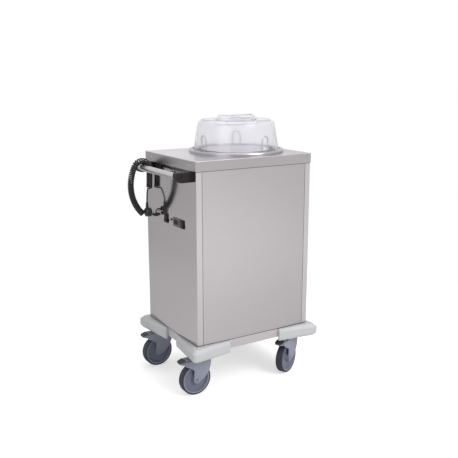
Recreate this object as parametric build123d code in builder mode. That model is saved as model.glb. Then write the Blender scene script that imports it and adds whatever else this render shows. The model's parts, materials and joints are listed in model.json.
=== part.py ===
"""Heated plate dispenser cart: a closed cabinet on four swivel casters that carries one
self-levelling plate tube under a clear dome, with a push handle and a curly supply cord.

Millimetres. +Z is up, the floor is z = 0, and the origin lies under the middle of the cart's
outline. The narrow end with the handle faces -X, and the wide front faces -Y.
"""
import os
from math import atan2, cos, degrees, pi, radians, sin, tan

from build123d import *

os.makedirs("parts", exist_ok=True)

# ---------------------------------------------------------------- driving dimensions
# Cabinet
body_length = 510.0
body_width = 410.0
sheet = 1.2              # folded stainless sheet of the shells and panels
fold_radius = 2.4
return_width = 24.0      # how far the end shells turn round onto the wide faces
hem = 12.0               # inward fold beside each vertical seam
seam = 1.5               # shadow gap beside the wide panels and over the base frame
tray_lip = 25.0
deck_top = 900.0
deck_sheet = 1.5
deck_lip = 37.0
deck_overhang = 2.0
deck_screw_inset = 53.0  # from the wide faces
deck_screw_drop = 21.0   # below the deck's top
screw_head_radius = 4.0
screw_shank_radius = 2.0

# Base frame
rail_bottom = 170.0
rail_height = 33.0
rail_flange = 40.0
rail_sheet = 2.5
rail_inset = 0.5
corner_plate = 100.0

# Corner bumpers
bumper_out = 37.0        # past the cabinet at the corner, before it is rounded
bumper_end_out = 9.0     # past the cabinet at the end of each leg
bumper_leg_x = 140.0     # along the wide faces
bumper_leg_y = 160.0     # along the narrow ends
bumper_corner_radius = 12.0
bumper_end_radius = 3.0
bumper_bottom = 155.0
bumper_under_in = 8.0    # lower edge's bevel, inwards and upwards
bumper_under_up = 10.0
bumper_slope_in = 14.0   # upper edge's bevel, inwards and downwards
bumper_slope_down = 13.0
bumper_gap = 0.3         # between the bumper and the base frame's rail

# Casters
caster_inset_x = 47.0
caster_inset_y = 42.0
wheel_radius = 62.5
tyre_width = 30.0
tyre_inner_radius = 56.0
tyre_shoulder = 4.0
hub_width = 34.0
hub_radius = 15.0
web_width = 20.0
caster_trail = 38.0
axle_radius = 4.0
axle_head_radius = 7.0
axle_head_height = 2.0
fork_leg = 4.5
fork_crown = 10.0
fork_front = 22.0
fork_front_edge = 15.0   # height of the fork's upright front edge
fork_back = 94.0
fork_boss_radius = 14.0
fork_waist_out = 47.0    # middle of the fork's hollow front edge, ahead of the axle
fork_waist_rise = 22.0   # and above it
fork_cheek_rise = 9.0    # top of the cheeks above the pedal's pivot
fork_cheek_drop = 21.0   # and their lower edge below it
swivel_pin_radius = 10.0
caster_head_radius = 24.0
caster_head_height = 7.0
stem_radius = 6.0
stem_nut_flats = 19.0
stem_nut_height = 10.0
stem_tail = 4.0          # stem above its nut
pedal_pivot_back = 60.0
pedal_pivot_height = 134.0
pedal_reach = 107.0
pedal_rise = 14.0        # top of the lever above its pivot
pedal_tip_rise = 5.5
pedal_tip_thick = 4.0
pedal_tip_radius = 8.0
pedal_pin_radius = 3.0
pedal_boss_radius = 7.0
pedal_press = 20.0       # degrees down to the braked position
pedal_cam_radius = 3.0
side_gap = 0.4           # between parts that turn beside each other
end_gap = 0.3            # between faces that turn or slide on each other
running_gap = 0.05       # radial, a pin in its bore

# Plate tube, in the deck
tube_offset = 42.0       # from the middle of the cabinet, away from the handle
collar_inner_radius = 158.0
collar_ledge_width = 14.5
collar_ledge_height = 7.0
collar_lip_width = 15.5
collar_height = 13.0
collar_skirt = 10.0
collar_skirt_wall = 2.5
deck_hole_margin = 3.0   # between the springs and the deck's cut-out
tube_wall = 1.2
tube_gap = 0.3           # radial, between the collar's skirt and the tube
tube_bottom = 260.0
tube_base_sheet = 3.0
tube_vent_radius = 60.0
tube_slot_width = 24.0
platform_gap = 2.0       # between the platform and a guide pushed fully in
platform_rise = 12.0     # raised platform, above the deck
platform_sheet = 2.0
platform_rim = 8.0
platform_travel = 400.0
hanger_inset = 7.0       # middle of the hanger strips, inside the collar
hanger_width = 20.0
hanger_sheet = 3.0
hanger_drop = 214.0      # from the platform's underside to the hooks
hanger_arm = 40.0        # how far each hanger's arm reaches in under the platform
hanger_foot = 20.0       # length of the arm that is welded to the platform
spring_gap = 4.0         # between the tube and each spring
spring_radius = 6.0
spring_wire = 1.6
guide_inset = 9.0        # middle of the guides' wire, inside the collar
guide_wire_radius = 3.0
guide_half_width = 16.0  # from the middle of the guide to the middle of each wire
guide_rise = 71.0        # above the deck
guide_foot_height = 6.0
guide_foot_length = 52.0
guide_foot_width = 16.0
guide_stud_radius = 4.0
guide_travel = 12.0
guide_tab_drop = 5.0     # the guide's upper tab, below the collar's skirt top
guide_tab_height = 5.0
hanger_angles = (0.0, 120.0, 240.0)
guide_angles = (182.0, 57.0, 285.0)
heater_circle = 95.0
heater_tube_radius = 5.0
heater_lift = 26.0       # above the tray
heater_leg_radius = 3.0

# Dome
dome_fit = 1.5           # radial, between the dome's flange and the collar's rim
dome_flange_width = 3.0
dome_flange_height = 3.0
dome_wall = 3.0
dome_draft = 18.0        # how far the side leans in up to the shoulder
dome_shoulder_height = 110.0
dome_shoulder_width = 16.0
dome_top_height = 120.0
ridge_length = 190.0
ridge_width = 52.0
ridge_height = 17.0
ridge_top_length = 146.0
ridge_top_width = 34.0
well_length = 136.0
well_width = 40.0
well_depth = 14.0
well_draft = 8.0

# Handle
handle_reach = 51.0      # bar axis, out from the narrow end
handle_drop = 56.0       # bar's axis, below the deck
bar_radius = 12.5
bar_wall = 1.5
bracket_width = 24.0
bracket_inset = 27.0     # from the wide faces
bracket_below = 21.0     # under the bar's axis
bracket_above = 16.0
bracket_past_bar = 15.0
bracket_low_radius = 24.0
bracket_high_radius = 9.0
bracket_dimple_radius = 9.0
bracket_dimple_depth = 1.5
bracket_socket = 16.0
bracket_socket_gap = 0.1
bracket_screw_spacing = 22.0
bracket_screw_radius = 2.5
bracket_screw_length = 14.0

# Controls on the handle end: places are (y, z)
controller_place = (-57.0, 654.5)
controller_size = (58.0, 34.0)
controller_bezel = 3.0
controller_depth = 50.0
controller_step = 3.0    # bezel past the body behind it
display_size = (34.0, 18.0)
display_shift = 7.0
display_sheet = 1.0
button_size = (7.0, 7.0)
button_shift = -20.0
button_spacing = 11.0
button_proud = 1.2
button_length = 7.0
button_travel = 0.8
main_switch_place = (32.5, 657.0)
main_switch_size = (30.0, 38.0)
heat_switch_place = (-102.0, 654.5)
heat_switch_size = (24.0, 34.0)
switch_bezel = 2.5
switch_rim = 4.0
switch_depth = 24.0
switch_wall = 2.0
rocker_tilt = 8.0
rocker_pin_radius = 2.0
rocker_proud = 3.5
rocker_thick = 7.0
lamp_place = (-10.0, 658.0)
lamp_radius = 5.0
lamp_body_radius = 4.0
lamp_proud = 3.0
lamp_depth = 16.0
hole_gap = 0.2           # between a control's body and its cut-out

# Supply cord
gland_place = (119.0, 655.0)
gland_radius = 6.0
gland_flange_radius = 7.5
gland_flange_height = 3.0
gland_standoff = 10.0    # middle of the cable, out from the narrow end
gland_reach = 23.0       # mouth of the tapered bend relief, sideways from the elbow
gland_mouth_radius = 4.1
gland_thread_radius = 5.0
gland_thread_length = 12.0
cable_radius = 2.95
coil_radius = 12.5       # outside
coil_turns = 52.5
coil_pitch_bent = 1.35   # pitch over the bar, as a multiple of the pitch elsewhere
coil_blend = 14.0        # length over which the pitch changes
coil_over_bar = 33.5     # radius of the coil's middle line over the bar
coil_rest_gap = 0.5      # between coil and bar
coil_outer_bow = 170.0   # radius of the long outer stretch
coil_outer_start = 46.0  # degrees past straight down at its lower end
coil_outer_end = 25.0    # degrees short of straight up where it meets the bar's bend
coil_inner_drop = 75.5   # straight inner stretch
coil_lean = 0.09         # how far the hanging coil leans back per millimetre of drop
coil_bracket_gap = 6.5   # to the rear bracket, where the coil crosses the bar
coil_stub = 6.0
plug_in = 12.0           # plug's axis, from below the bar's axis towards the cabinet
plug_front = 12.0        # plug's axis, in front of where the coil crosses the bar
plug_height = 707.0      # top of its bend relief
plug_head_radius = 17.5
plug_head_thick = 21.0
plug_neck_radius = 6.5
plug_relief_length = 22.0
plug_relief_radius = 4.5
plug_pin_radius = 2.4
plug_pin_length = 19.0
plug_pin_spacing = 19.0

# ---------------------------------------------------------------- shared places
half_length = body_length / 2
half_width = body_width / 2
deck_screw_y = half_width - deck_screw_inset
handle_out = handle_reach + bracket_past_bar
body_x = (handle_out - bumper_out) / 2
handle_face_x = body_x - half_length
tube_x = body_x + tube_offset
cabinet_bottom = rail_bottom + rail_height
shell_bottom = cabinet_bottom + seam
deck_under = deck_top - deck_sheet
platform_top = deck_top + platform_rise
guide_top = deck_top + guide_rise
handle_z = deck_top - handle_drop
shell_height = deck_under - shell_bottom
panel_length = body_length - 2 * (return_width + seam)
bar_x = handle_face_x - handle_reach
bracket_inner_y = half_width - bracket_inset - bracket_width
coil_y = bracket_inner_y - coil_bracket_gap - coil_radius
collar_rim_inner = collar_inner_radius + collar_ledge_width
collar_radius = collar_rim_inner + collar_lip_width
collar_skirt_bottom = deck_top - collar_skirt
tube_inner_radius = collar_inner_radius + collar_skirt_wall + tube_gap
tube_outer_radius = tube_inner_radius + tube_wall
spring_circle = tube_outer_radius + spring_gap + spring_radius
deck_hole_radius = spring_circle + spring_radius + deck_hole_margin
guide_circle = collar_inner_radius - guide_inset
hanger_radius = collar_inner_radius - hanger_inset
platform_radius = guide_circle - guide_wire_radius - guide_travel - platform_gap
dome_flange_radius = collar_rim_inner - dome_fit
dome_base_radius = dome_flange_radius - dome_flange_width
dome_shoulder_radius = dome_base_radius - dome_draft
dome_top_radius = dome_shoulder_radius - dome_shoulder_width
hook_top = platform_top - platform_sheet - hanger_drop
fork_gap_half = hub_width / 2 + side_gap
fork_half_width = fork_gap_half + fork_leg
caster_height = bumper_bottom
fork_top = caster_height - caster_head_height - end_gap
fork_crown_bottom = fork_top - fork_crown

corners = {
    "handle_front": (-1, -1, 0.0),
    "handle_rear": (-1, 1, 0.0),
    "far_front": (1, -1, 25.5),
    "far_rear": (1, 1, -12.0),
}


def caster_spot(side_x, side_y):
    """Swivel axis of one caster."""
    x = body_x + side_x * (half_length - caster_inset_x)
    return (x, side_y * (half_width - caster_inset_y))


def face_plane(x):
    """Upright plane across the cart at x: its own x runs along +Y and its own y along +Z."""
    return Plane(origin=(x, 0, 0), x_dir=(0, 1, 0), z_dir=(1, 0, 0))


def side_plane(y):
    """Upright plane along the cart at y: its own x runs along +X and its own y along +Z."""
    return Plane(origin=(0, y, 0), x_dir=(1, 0, 0), z_dir=(0, -1, 0))


def save(piece, label):
    """Label one finished piece and write its file."""
    piece.part.label = label
    export_step(piece.part, f"parts/{label}.step")


# ---------------------------------------------------------------- base
def make_base_frame():
    """Ring of folded channel, open inwards, with a plate in each lower corner for the stems."""
    length = body_length - 2 * rail_inset
    width = body_width - 2 * rail_inset
    with BuildPart() as base_frame:
        with BuildSketch(Plane.XY.offset(rail_bottom)):
            with Locations((body_x, 0)):
                Rectangle(length, width)
                Rectangle(length - 2 * rail_flange, width - 2 * rail_flange, mode=Mode.SUBTRACT)
        extrude(amount=rail_height)
        with BuildSketch(Plane.XY.offset(rail_bottom + rail_sheet)):
            with Locations((body_x, 0)):
                Rectangle(length - 2 * rail_sheet, width - 2 * rail_sheet)
        extrude(amount=rail_height - 2 * rail_sheet, mode=Mode.SUBTRACT)
        with BuildSketch(Plane.XY.offset(rail_bottom)):
            for side_x, side_y, _ in corners.values():
                plate_x = body_x + side_x * (length - corner_plate) / 2
                plate_y = side_y * (width - corner_plate) / 2
                with Locations((plate_x, plate_y)):
                    Rectangle(corner_plate, corner_plate)
        extrude(amount=rail_sheet)
        with BuildSketch(Plane.XY.offset(rail_bottom)):
            for side_x, side_y, _ in corners.values():
                with Locations(caster_spot(side_x, side_y)):
                    Circle(stem_radius + hole_gap)
        extrude(amount=rail_sheet, mode=Mode.SUBTRACT)
    save(base_frame, "base_frame")


def bumper_section(height, inset):
    """Level section of a corner block, whose outer edges are drawn in by the inset at the corner."""
    share = 1 - inset / bumper_out
    corner_out = bumper_out * share
    end_out = bumper_end_out * share
    inner_x = half_length - rail_inset + bumper_gap
    inner_y = half_width - rail_inset + bumper_gap
    with BuildSketch(Plane.XY.offset(height)) as outline:
        with BuildLine():
            Polyline(
                (half_length - bumper_leg_x, inner_y),
                (half_length - bumper_leg_x, half_width + end_out),
                (half_length + corner_out, half_width + corner_out),
                (half_length + end_out, half_width - bumper_leg_y),
                (inner_x, half_width - bumper_leg_y),
                (inner_x, inner_y),
                close=True,
            )
        make_face()
        corner = outline.vertices().sort_by(Axis((0, 0, 0), (1, 1, 0)))[-1]
        fillet(corner, bumper_corner_radius)
        ends = [outline.vertices().sort_by(Axis.X)[0:2], outline.vertices().sort_by(Axis.Y)[0:2]]
        outer_ends = [ends[0].sort_by(Axis.Y)[-1], ends[1].sort_by(Axis.X)[-1]]
        fillet(outer_ends, bumper_end_radius)
    return outline.sketch


def make_bumper(name, side_x, side_y):
    """Grey corner block: two tapering legs outside the rail, on a plate that the stem clamps."""
    inner_x = half_length - rail_inset + bumper_gap
    inner_y = half_width - rail_inset + bumper_gap
    plate_top = rail_bottom
    levels = [
        (bumper_bottom, bumper_under_in),
        (bumper_bottom + bumper_under_up, 0.0),
        (cabinet_bottom - bumper_slope_down, 0.0),
        (cabinet_bottom, bumper_slope_in),
    ]
    with BuildPart() as bumper:
        for lower, upper in zip(levels, levels[1:]):
            loft([bumper_section(*lower), bumper_section(*upper)], ruled=True)
        with BuildSketch(Plane.XY.offset(bumper_bottom)):
            reach_x = inner_x - half_length + corner_plate
            reach_y = inner_y - half_width + corner_plate
            with Locations((inner_x - reach_x / 2, inner_y - reach_y / 2)):
                Rectangle(reach_x, reach_y)
        extrude(amount=plate_top - bumper_bottom)
        with Locations((half_length - caster_inset_x, half_width - caster_inset_y, bumper_bottom)):
            Cylinder(
                stem_radius + hole_gap,
                plate_top - bumper_bottom,
                align=(Align.CENTER, Align.CENTER, Align.MIN),
                mode=Mode.SUBTRACT,
            )
        if side_x < 0:
            mirror(about=Plane.YZ, mode=Mode.REPLACE)
        if side_y < 0:
            mirror(about=Plane.XZ, mode=Mode.REPLACE)
    with BuildPart() as placed:
        with Locations((body_x, 0, 0)):
            add(bumper.part)
    save(placed, f"bumper_{name}")


def make_caster_heads():
    """Fixed half of each caster: swivel disc, stem, kingpin with its rivet head, and the nut."""
    pin_bottom = fork_crown_bottom - end_gap
    rivet_height = 5.0
    stem_top = rail_bottom + rail_sheet + stem_nut_height + stem_tail
    with BuildPart() as head:
        with BuildSketch(Plane.XZ):
            with BuildLine():
                Polyline(
                    (0, pin_bottom - rivet_height),
                    (swivel_pin_radius + 4, pin_bottom - rivet_height),
                    (swivel_pin_radius + 4, pin_bottom),
                    (swivel_pin_radius, pin_bottom),
                    (swivel_pin_radius, caster_height - caster_head_height),
                    (caster_head_radius, caster_height - caster_head_height),
                    (caster_head_radius, caster_height),
                    (stem_radius, caster_height),
                    (stem_radius, stem_top),
                    (0, stem_top),
                    close=True,
                )
            make_face()
        revolve(axis=Axis.Z)
    with BuildPart() as nut:
        with BuildSketch(Plane.XY.offset(rail_bottom + rail_sheet)):
            RegularPolygon(stem_nut_flats / 2, 6, major_radius=False)
            Circle(stem_radius + running_gap, mode=Mode.SUBTRACT)
        extrude(amount=stem_nut_height)
    with BuildPart() as caster_heads:
        for side_x, side_y, _ in corners.values():
            with Locations(caster_spot(side_x, side_y)):
                add(head.part)
                add(nut.part)
    save(caster_heads, "caster_heads")


# ---------------------------------------------------------------- casters, modelled trailing along -X
def caster_fork():
    """Two legs and a crown in one moulding, bored for the kingpin, the axle and the pedal's pins."""
    boss = (-caster_trail, wheel_radius)
    boss_low = (boss[0] + fork_boss_radius * 0.7, boss[1] - fork_boss_radius * 0.7)
    with BuildPart() as fork:
        with BuildSketch(side_plane(fork_half_width)) as leg:
            with BuildLine():
                Polyline(
                    boss_low,
                    boss,
                    (boss[0] - fork_boss_radius, boss[1]),
                    (boss[0] - fork_boss_radius + 3, -fork_cheek_drop + pedal_pivot_height - 12),
                    (-pedal_pivot_back - 2, pedal_pivot_height - fork_cheek_drop),
                    (-fork_back + 10, pedal_pivot_height - fork_cheek_drop / 2),
                    (-fork_back, pedal_pivot_height + 2),
                    (-fork_back + 4, pedal_pivot_height + fork_cheek_rise - 2),
                    (-pedal_pivot_back - 2, pedal_pivot_height + fork_cheek_rise),
                    (-pedal_pivot_back + 10, fork_top),
                    (fork_front, fork_top),
                    (fork_front, fork_top - fork_front_edge),
                )
                waist = (boss[0] + fork_waist_out, boss[1] + fork_waist_rise)
                ThreePointArc((fork_front, fork_top - fork_front_edge), waist, boss_low)
            make_face()
            with Locations(boss):
                Circle(fork_boss_radius)
            fillet(leg.vertices().group_by(Axis.Y)[-1].sort_by(Axis.X)[-1], 5)
            fillet(leg.vertices().sort_by(Axis.X)[0], 3)
        extrude(amount=2 * fork_half_width)
        wheel_room = 2 * fork_gap_half
        with Locations((0, 0, fork_crown_bottom)):
            Box(
                4 * fork_back,
                wheel_room,
                2 * wheel_radius,
                align=(Align.CENTER, Align.CENTER, Align.MAX),
                mode=Mode.SUBTRACT,
            )
        with Locations((-pedal_pivot_back + pedal_boss_radius + 5, 0, 0)):
            Box(
                2 * fork_back,
                wheel_room,
                2 * fork_top,
                align=(Align.MAX, Align.CENTER, Align.MIN),
                mode=Mode.SUBTRACT,
            )
        with Locations((0, 0, fork_crown_bottom)):
            Cylinder(
                swivel_pin_radius + running_gap,
                fork_crown,
                align=(Align.CENTER, Align.CENTER, Align.MIN),
                mode=Mode.SUBTRACT,
            )
        with BuildSketch(side_plane(fork_half_width)):
            with Locations(boss):
                Circle(axle_radius + running_gap)
            with Locations((-pedal_pivot_back, pedal_pivot_height)):
                Circle(pedal_pin_radius + running_gap)
        extrude(amount=2 * fork_half_width, mode=Mode.SUBTRACT)
    return fork.part


def caster_axle():
    """Bolt across the fork with a head at one end and a nut at the other."""
    with BuildPart() as axle:
        with BuildSketch(side_plane(fork_half_width + axle_head_height)):
            with Locations((-caster_trail, wheel_radius)):
                Circle(axle_head_radius)
        extrude(amount=axle_head_height)
        with BuildSketch(side_plane(fork_half_width)):
            with Locations((-caster_trail, wheel_radius)):
                Circle(axle_radius)
        extrude(amount=2 * fork_half_width)
        with BuildSketch(side_plane(-fork_half_width)):
            with Locations((-caster_trail, wheel_radius)):
                RegularPolygon(axle_head_radius, 6)
        extrude(amount=axle_head_height)
    return axle.part


def wheel_section_plane():
    """Plane through the axle: its own x is the radius and its own y runs along +Y."""
    return Plane(origin=(-caster_trail, 0, wheel_radius), x_dir=(1, 0, 0), z_dir=(0, 0, 1))


def wheel_core():
    """Moulded wheel centre: hub, thin web and rim, dished on both sides."""
    axle_line = Axis((-caster_trail, 0, wheel_radius), (0, 1, 0))
    rim_half = tyre_width / 2 - 1.5
    rim_inner = tyre_inner_radius - 7
    web_half = web_width / 2 - 4
    with BuildPart() as core:
        with BuildSketch(wheel_section_plane()):
            with BuildLine():
                Polyline(
                    (axle_radius + running_gap, -hub_width / 2),
                    (hub_radius, -hub_width / 2),
                    (hub_radius + 4, -web_half),
                    (rim_inner - 4, -web_half),
                    (rim_inner, -rim_half),
                    (tyre_inner_radius, -rim_half),
                    (tyre_inner_radius, rim_half),
                    (rim_inner, rim_half),
                    (rim_inner - 4, web_half),
                    (hub_radius + 4, web_half),
                    (hub_radius, hub_width / 2),
                    (axle_radius + running_gap, hub_width / 2),
                    close=True,
                )
            make_face()
        revolve(axis=axle_line)
    return core.part


def caster_tyre():
    """Tread ring with rounded shoulders, seated on the core's rim."""
    axle_line = Axis((-caster_trail, 0, wheel_radius), (0, 1, 0))
    with BuildPart() as tyre:
        with BuildSketch(wheel_section_plane()) as section:
            with Locations(((tyre_inner_radius + wheel_radius) / 2, 0)):
                Rectangle(wheel_radius - tyre_inner_radius, tyre_width)
            fillet(section.vertices().group_by(Axis.X)[-1], tyre_shoulder)
        revolve(axis=axle_line)
    return tyre.part


def brake_pedal():
    """Foot lever on two short pins, with the cam that it presses onto the tread."""
    width = 2 * (fork_gap_half - side_gap)
    tip_x = -pedal_reach
    boss_x = -pedal_pivot_back
    boss_z = pedal_pivot_height
    to_wheel = Vector(-caster_trail - boss_x, wheel_radius - boss_z)
    cam_reach = to_wheel.length - wheel_radius - end_gap - pedal_cam_radius
    cam = Vector(boss_x, boss_z) + to_wheel.normalized().rotate(Axis.Z, -pedal_press) * cam_reach
    with BuildPart() as pedal:
        with BuildSketch(side_plane(width / 2)):
            with BuildLine():
                Polyline(
                    (boss_x + 9.5, boss_z + pedal_rise - 3),
                    (boss_x - 12, boss_z + pedal_rise),
                    (boss_x - 24, boss_z + pedal_rise - 1),
                    (tip_x + 1, boss_z + pedal_tip_rise),
                    (tip_x, boss_z + pedal_tip_rise - pedal_tip_thick),
                    (boss_x - 28, boss_z - 4),
                    (boss_x - 16, boss_z - pedal_boss_radius),
                    (boss_x - 8, boss_z - pedal_boss_radius),
                    close=True,
                )
            make_face()
            with Locations((boss_x, boss_z)):
                Circle(pedal_boss_radius)
            with Locations(cam):
                Circle(pedal_cam_radius)
        extrude(amount=width)
        fillet(pedal.edges().group_by(Axis.X)[1], pedal_tip_radius)
        with BuildSketch(side_plane(fork_half_width)):
            with Locations((boss_x, boss_z)):
                Circle(pedal_pin_radius)
        extrude(amount=2 * fork_half_width)
    return pedal.part


def make_casters():
    """Place one set of caster pieces at each corner, each turned by its own yaw."""
    pieces = {
        "caster_fork": caster_fork(),
        "caster_axle": caster_axle(),
        "wheel_core": wheel_core(),
        "tyre": caster_tyre(),
        "brake_pedal": brake_pedal(),
    }
    for name, (side_x, side_y, yaw) in corners.items():
        spot = caster_spot(side_x, side_y)
        for kind, shape in pieces.items():
            with BuildPart() as piece:
                with Locations(Location((spot[0], spot[1], 0), (0, 0, yaw))):
                    add(shape)
            save(piece, f"{kind}_{name}")


# ---------------------------------------------------------------- cabinet
def make_floor_tray():
    """Flat tray on the base frame; its lips stand just inside the shells and panels."""
    length = body_length - 2 * sheet
    width = body_width - 2 * sheet
    notch = fold_radius + hem
    with BuildPart() as floor_tray:
        with BuildSketch(Plane.XY.offset(cabinet_bottom)):
            with Locations((body_x, 0)):
                Rectangle(length, width)
        extrude(amount=seam)
        with BuildSketch(Plane.XY.offset(cabinet_bottom)):
            with Locations((body_x, (width - seam) / 2), (body_x, -(width - seam) / 2)):
                Rectangle(panel_length - 2 * (sheet + side_gap), seam)
            with Locations((body_x + (length - seam) / 2, 0), (body_x - (length - seam) / 2, 0)):
                Rectangle(seam, width - 2 * notch)
        extrude(amount=tray_lip)
    save(floor_tray, "floor_tray")


def end_shell(side):
    """Folded U that closes one narrow end and turns round onto both wide faces."""
    outer_x = body_x + side * half_length
    middle_x = outer_x - side * return_width / 2
    inner_x = outer_x - side * return_width
    screw_z = deck_top - deck_screw_drop
    with BuildPart() as shell:
        with BuildSketch(Plane.XY.offset(shell_bottom)) as profile:
            with Locations((middle_x, 0)):
                Rectangle(return_width, body_width)
            fillet(profile.vertices().group_by(Axis.X)[-1 if side > 0 else 0], fold_radius)
            with Locations((outer_x - side * (sheet + return_width), 0)):
                RectangleRounded(
                    2 * return_width,
                    body_width - 2 * sheet,
                    fold_radius - sheet,
                    mode=Mode.SUBTRACT,
                )
            hem_x = inner_x + side * sheet / 2
            with Locations((hem_x, half_width - hem / 2), (hem_x, hem / 2 - half_width)):
                Rectangle(sheet, hem)
        extrude(amount=shell_height)
        with BuildSketch(face_plane(outer_x)):
            with Locations((deck_screw_y, screw_z), (-deck_screw_y, screw_z)):
                Circle(screw_shank_radius + running_gap)
        extrude(amount=sheet * 2, both=True, mode=Mode.SUBTRACT)
    return shell


def make_shells():
    """The far end shell is plain; the handle end one is pierced for the controls and the handle."""
    save(end_shell(1), "far_end_shell")
    with BuildPart() as handle_end_shell:
        add(end_shell(-1).part)
        with BuildSketch(face_plane(handle_face_x)):
            with Locations(controller_place):
                Rectangle(*(size - 2 * controller_step + 2 * hole_gap for size in controller_size))
            with Locations(main_switch_place):
                Rectangle(*(size - switch_rim + 2 * hole_gap for size in main_switch_size))
            with Locations(heat_switch_place):
                Rectangle(*(size - switch_rim + 2 * hole_gap for size in heat_switch_size))
            with Locations(lamp_place):
                Circle(lamp_body_radius + running_gap)
            with Locations(gland_place):
                Circle(gland_thread_radius + running_gap)
            with Locations(*bracket_screw_places()):
                Circle(bracket_screw_radius + hole_gap)
        extrude(amount=sheet * 2, both=True, mode=Mode.SUBTRACT)
    save(handle_end_shell, "handle_end_shell")


def bracket_middle_z():
    """Height of the middle of the handle brackets."""
    return handle_z + (bracket_above - bracket_below) / 2


def bracket_screw_places():
    """(y, z) of the four screws that hold the handle brackets from inside."""
    y = bracket_inner_y + bracket_width / 2
    rise = bracket_screw_spacing / 2
    return [(side * y, bracket_middle_z() + step * rise) for side in (-1, 1) for step in (-1, 1)]


def make_wide_panel(side, label):
    """Flat panel between the shells' returns, folded inwards along both seams."""
    with BuildPart() as panel:
        with BuildSketch(Plane.XY.offset(shell_bottom)):
            with Locations((body_x, side * (half_width - sheet / 2))):
                Rectangle(panel_length, sheet)
            fold_x = (panel_length - sheet) / 2
            fold_y = side * (half_width - hem / 2)
            with Locations((body_x + fold_x, fold_y), (body_x - fold_x, fold_y)):
                Rectangle(sheet, hem)
        extrude(amount=shell_height)
    save(panel, label)


def make_top_deck():
    """Deck folded down all round over the cabinet, with the cut-out that the collar covers."""
    length = body_length + 2 * deck_overhang
    width = body_width + 2 * deck_overhang
    screw_z = deck_top - deck_screw_drop
    with BuildPart() as top_deck:
        with BuildSketch(Plane.XY.offset(deck_top - deck_lip)):
            with Locations((body_x, 0)):
                RectangleRounded(length, width, fold_radius)
        extrude(amount=deck_lip)
        fillet(top_deck.faces().sort_by(Axis.Z)[-1].edges(), fold_radius - 1)
        with BuildSketch(Plane.XY.offset(deck_top - deck_lip)):
            with Locations((body_x, 0)):
                Rectangle(length - 2 * deck_sheet, width - 2 * deck_sheet)
        extrude(amount=deck_lip - deck_sheet, mode=Mode.SUBTRACT)
        with Locations((tube_x, 0, deck_top)):
            Cylinder(deck_hole_radius, 4 * deck_sheet, mode=Mode.SUBTRACT)
        for side in (-1, 1):
            with BuildSketch(face_plane(body_x + side * length / 2)):
                with Locations((deck_screw_y, screw_z), (-deck_screw_y, screw_z)):
                    Circle(screw_shank_radius + running_gap)
            extrude(amount=2 * deck_sheet, both=True, mode=Mode.SUBTRACT)
    save(top_deck, "top_deck")


def make_deck_screws():
    """Two round-headed screws through the deck's lip at each narrow end."""
    head_height = 2.2
    shank = deck_overhang + sheet + 8
    with BuildPart() as screw:
        Cylinder(screw_head_radius, head_height, align=(Align.CENTER, Align.CENTER, Align.MIN))
        fillet(screw.faces().sort_by(Axis.Z)[-1].edges(), head_height / 2)
        Cylinder(screw_shank_radius, shank, align=(Align.CENTER, Align.CENTER, Align.MAX))
        with Locations((0, 0, head_height)):
            Box(1, screw_head_radius, 1.4, mode=Mode.SUBTRACT)
    with BuildPart() as deck_screws:
        for side in (-1, 1):
            x = body_x + side * (half_length + deck_overhang)
            for y in (-deck_screw_y, deck_screw_y):
                with Locations(Location((x, y, deck_top - deck_screw_drop), (0, side * 90, 0))):
                    add(screw.part)
    save(deck_screws, "deck_screws")


# ---------------------------------------------------------------- plate lift
def make_collar_ring():
    """Spun ring over the deck's cut-out: a raised rim, a ledge for the dome and a short skirt."""
    rim_top = deck_top + collar_height
    ledge = deck_top + collar_ledge_height
    with BuildPart() as collar_ring:
        with BuildSketch(side_plane(0)) as section:
            with BuildLine():
                Polyline(
                    (tube_x + collar_radius, deck_top),
                    (tube_x + collar_radius, rim_top),
                    (tube_x + collar_rim_inner, rim_top),
                    (tube_x + collar_rim_inner, ledge),
                    (tube_x + collar_inner_radius, ledge),
                    (tube_x + collar_inner_radius, collar_skirt_bottom),
                    (tube_x + collar_inner_radius + collar_skirt_wall, collar_skirt_bottom),
                    (tube_x + collar_inner_radius + collar_skirt_wall, deck_top),
                    close=True,
                )
            make_face()
            top_points = section.vertices().group_by(Axis.Y)[-1].sort_by(Axis.X)
            fillet(top_points[-1], collar_height / 2)
            fillet(section.vertices().group_by(Axis.Y)[-1].sort_by(Axis.X)[0], 2)
        revolve(axis=Axis((tube_x, 0, 0), (0, 0, 1)))
    save(collar_ring, "collar_ring")


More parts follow.
